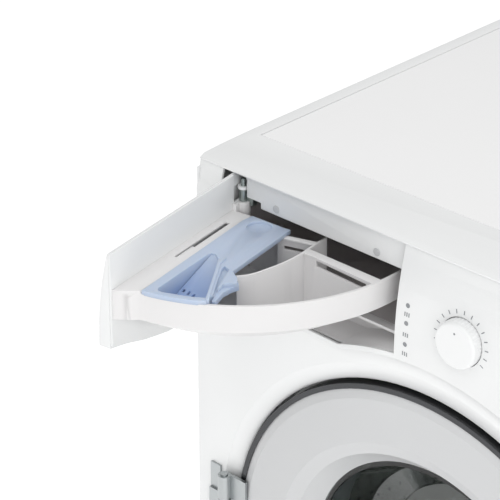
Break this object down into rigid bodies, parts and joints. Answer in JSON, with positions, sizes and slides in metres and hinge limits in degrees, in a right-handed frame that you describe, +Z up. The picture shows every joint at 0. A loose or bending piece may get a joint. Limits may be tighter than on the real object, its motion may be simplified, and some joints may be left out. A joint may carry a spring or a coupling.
{
  "type": "front load washing machine",
  "caption": "Front loading washing machine with a swing-out detergent drawer, round porthole door, sprung tub, belt driven drum, control panel and levelling feet.",
  "frame": {"origin": "on the floor, under the middle of everything the machine covers with the drawer swung open", "axes": "+Z up, -Y out of the machine's front, +X to the right of someone facing the front"},
  "size_m": [0.595, 0.8086, 0.85],
  "materials": {
    "white_enamel": "gloss white stove enamel",
    "galvanised": "galvanised sheet",
    "white_plastic": "moulded white plastic",
    "worktop_laminate": "melamine laminate",
    "tray_plastic": "satin polypropylene",
    "blue_plastic": "satin blue polypropylene",
    "dark_plastic": "dark grey polypropylene",
    "door_trim": "light grey moulded trim",
    "door_chrome": "dark chrome",
    "door_glass": "pressed glass",
    "display_glass": "smoked display window",
    "steel": "bright steel",
    "drum_steel": "stainless steel",
    "seal_rubber": "grey rubber",
    "belt_rubber": "black ribbed rubber",
    "hose_rubber": "grey corrugated hose",
    "tub_plastic": "glass filled polypropylene",
    "cast_weight": "cast concrete",
    "motor_paint": "black painted motor",
    "pulley_alloy": "die cast",
    "foot_plastic": "black moulded foot"
  },
  "bodies": {
    "cabinet": {"side_panel_left": "white_enamel", "side_panel_right": "white_enamel", "front_panel": "white_enamel", "rear_panel": "galvanised", "rear_cover": "galvanised", "base_frame": "galvanised", "crossbars": "galvanised", "hinge_bracket": "galvanised", "door_lock": "galvanised", "kick_panel": "white_plastic", "worktop_frame": "white_plastic", "worktop_panel": "worktop_laminate", "control_panel": "white_plastic", "dispenser_header": "white_plastic", "hinge_washer": "white_plastic", "drawer_scoop": "tray_plastic", "dispenser_housing": "dark_plastic", "drain_pump": "dark_plastic", "inlet_valve": "dark_plastic", "control_box": "dark_plastic", "display_window": "display_glass", "door_hinge_bracket": "steel", "screws": "steel", "drain_hose": "hose_rubber", "damper_bodies": "motor_paint", "suspension_springs": "motor_paint"},
    "drawer": {"drawer_front": "white_plastic", "drawer_liner": "tray_plastic", "detergent_tray": "tray_plastic"},
    "insert": {"softener_insert": "blue_plastic"},
    "door": {"door_frame": "door_trim", "door_back_ring": "door_trim", "door_ring": "door_chrome", "door_glass": "door_glass", "door_fittings": "steel"},
    "handle": {"door_handle": "door_chrome"},
    "latch": {"latch_hook": "steel"},
    "tub": {"tub_front": "tub_plastic", "tub_rear": "tub_plastic", "bearings": "steel", "counterweights": "cast_weight", "heater": "steel", "motor": "motor_paint", "damper_rods": "steel", "door_seal": "seal_rubber", "drive_belt": "belt_rubber"},
    "drum": {"drum": "drum_steel", "drum_lifters": "drum_steel", "drum_shaft": "steel", "drum_pulley": "pulley_alloy"},
    "motor_shaft": {"motor_pulley": "steel"},
    "knob": {"programme_knob": "white_plastic"},
    "start_key": {"start_button": "white_plastic"},
    "option_key": {"option_button": "white_plastic"},
    "filter": {"filter_cap": "dark_plastic"},
    "flap": {"service_flap": "white_plastic"},
    "levelling_front_left": {"foot_front_left": "foot_plastic"},
    "levelling_front_right": {"foot_front_right": "foot_plastic"},
    "levelling_rear_left": {"foot_rear_left": "foot_plastic"},
    "levelling_rear_right": {"foot_rear_right": "foot_plastic"}
  },
  "joints": [
    {"name": "drawer_swing", "type": "hinge", "parent": "cabinet", "child": "drawer", "pos_m": [-0.2463, -0.1955, 0.8], "axis": [0, 0, 1], "range_deg": [0, 80.5]},
    {"name": "insert_lift", "type": "slide", "parent": "drawer", "child": "insert", "axis": [0, 0, 1], "range_m": [0, 0.005]},
    {"name": "door_swing", "type": "hinge", "parent": "cabinet", "child": "door", "pos_m": [-0.252, -0.219, 0.4527], "axis": [0, 0, 1], "range_deg": [-165, 0]},
    {"name": "handle_pull", "type": "hinge", "parent": "door", "child": "handle", "pos_m": [0.2, -0.205, 0.4527], "axis": [0, 0, 1], "range_deg": [-18, 0], "stiffness_Nm_per_rad": 0.5, "springref_deg": 8.59},
    {"name": "latch_turn", "type": "hinge", "parent": "door", "child": "latch", "pos_m": [0.207, -0.1855, 0.4527], "axis": [0, 0, 1], "range_deg": [0, 10]},
    {"name": "tub_float", "type": "slide", "parent": "cabinet", "child": "tub", "axis": [0, 0, 1], "range_m": [-0.006, 0.006], "stiffness_N_per_m": 20000, "springref_m": 0.02, "deforming": ["suspension_springs", "door_seal"]},
    {"name": "drum_spin", "type": "hinge", "parent": "tub", "child": "drum", "pos_m": [0, 0.04, 0.4527], "axis": [0, 1, 0], "continuous": true},
    {"name": "motor_spin", "type": "hinge", "parent": "tub", "child": "motor_shaft", "pos_m": [0, 0.14, 0.128], "axis": [0, 1, 0], "continuous": true},
    {"name": "knob_turn", "type": "hinge", "parent": "cabinet", "child": "knob", "pos_m": [0.04, -0.21, 0.775], "axis": [0, 1, 0], "continuous": true},
    {"name": "start_press", "type": "slide", "parent": "cabinet", "child": "start_key", "axis": [0, 1, 0], "range_m": [0, 0.0015], "stiffness_N_per_m": 700, "springref_m": -0.0012},
    {"name": "option_press", "type": "slide", "parent": "cabinet", "child": "option_key", "axis": [0, 1, 0], "range_m": [0, 0.0015], "stiffness_N_per_m": 700, "springref_m": -0.0012},
    {"name": "filter_turn", "type": "hinge", "parent": "cabinet", "child": "filter", "pos_m": [0.2, -0.21, 0.064], "axis": [0, 1, 0], "range_deg": [0, 90]},
    {"name": "flap_swing", "type": "hinge", "parent": "cabinet", "child": "flap", "pos_m": [0.2, -0.2078, 0.0292], "axis": [1, 0, 0], "range_deg": [0, 80]},
    {"name": "foot_turn_front_left", "type": "hinge", "parent": "cabinet", "child": "levelling_front_left", "pos_m": [-0.25, -0.155, 0.02], "axis": [0, 0, 1], "continuous": true},
    {"name": "foot_turn_front_right", "type": "hinge", "parent": "cabinet", "child": "levelling_front_right", "pos_m": [0.25, -0.155, 0.02], "axis": [0, 0, 1], "continuous": true},
    {"name": "foot_turn_rear_left", "type": "hinge", "parent": "cabinet", "child": "levelling_rear_left", "pos_m": [-0.25, 0.335, 0.02], "axis": [0, 0, 1], "continuous": true},
    {"name": "foot_turn_rear_right", "type": "hinge", "parent": "cabinet", "child": "levelling_rear_right", "pos_m": [0.25, 0.335, 0.02], "axis": [0, 0, 1], "continuous": true}
  ],
  "couplings": [
    {"joint": "latch_turn", "follows": "handle_pull", "ratio": -0.5},
    {"joint": "motor_spin", "follows": "drum_spin", "ratio": 12.083}
  ]
}
